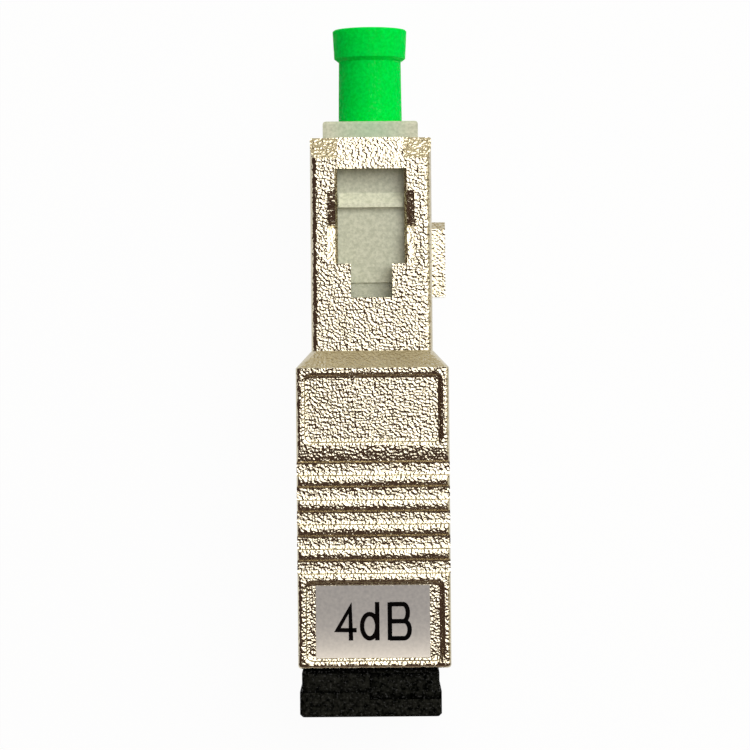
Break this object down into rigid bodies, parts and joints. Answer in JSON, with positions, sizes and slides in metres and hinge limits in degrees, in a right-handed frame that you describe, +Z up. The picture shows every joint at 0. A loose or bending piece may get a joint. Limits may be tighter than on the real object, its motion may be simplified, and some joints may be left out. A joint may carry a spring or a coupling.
{
  "type": "fibre optic attenuator",
  "caption": "Fixed plug-to-socket fibre optic attenuator with a grained metal housing, keyed push-pull plug end, socket end, green ferrule cap and black dust plug.",
  "frame": {"origin": "centre of the underside of the bounding box, where the part lies on its back", "axes": "+Y along the optical axis towards the plug end, +X towards the key, +Z up through the labelled face"},
  "size_m": [0.0094, 0.0422, 0.011],
  "materials": {
    "nickel_plate": "grained nickel plate on die-cast zinc",
    "frame_plastic": "off-white moulded plastic",
    "holder_plastic": "off-white moulded plastic",
    "cap_green": "soft glossy plastic",
    "plug_black": "matt moulded plastic",
    "label_film": "matt grey label film",
    "zirconia": "polished zirconia",
    "flange_metal": "nickel-plated brass",
    "spring_wire": "drawn spring steel",
    "fibre_glass": "doped silica"
  },
  "bodies": {
    "housing": {"outer_shell": "nickel_plate", "value_label": "label_film"},
    "core": {"plug_frame": "frame_plastic", "latch_holder": "holder_plastic", "stop_ring": "holder_plastic", "split_sleeve": "zirconia", "ferrule_spring": "spring_wire"},
    "ferrule_group": {"ferrule": "zirconia", "ferrule_flange": "flange_metal", "attenuating_fibre": "fibre_glass"},
    "front_cap": {"ferrule_cap": "cap_green"},
    "rear_plug": {"dust_plug": "plug_black"}
  },
  "joints": [
    {"name": "release_slide", "type": "slide", "parent": "housing", "child": "core", "axis": [0, 1, 0], "range_m": [0, 0.0015]},
    {"name": "ferrule_float", "type": "slide", "parent": "core", "child": "ferrule_group", "axis": [0, -1, 0], "range_m": [0, 0.0009], "stiffness_N_per_m": 2500, "deforming": ["ferrule_spring"]},
    {"name": "front_cap_pull", "type": "slide", "parent": "ferrule_group", "child": "front_cap", "axis": [0, 1, 0], "range_m": [0, 0.012]},
    {"name": "rear_plug_pull", "type": "slide", "parent": "housing", "child": "rear_plug", "axis": [0, -1, 0], "range_m": [0, 0.012]}
  ]
}
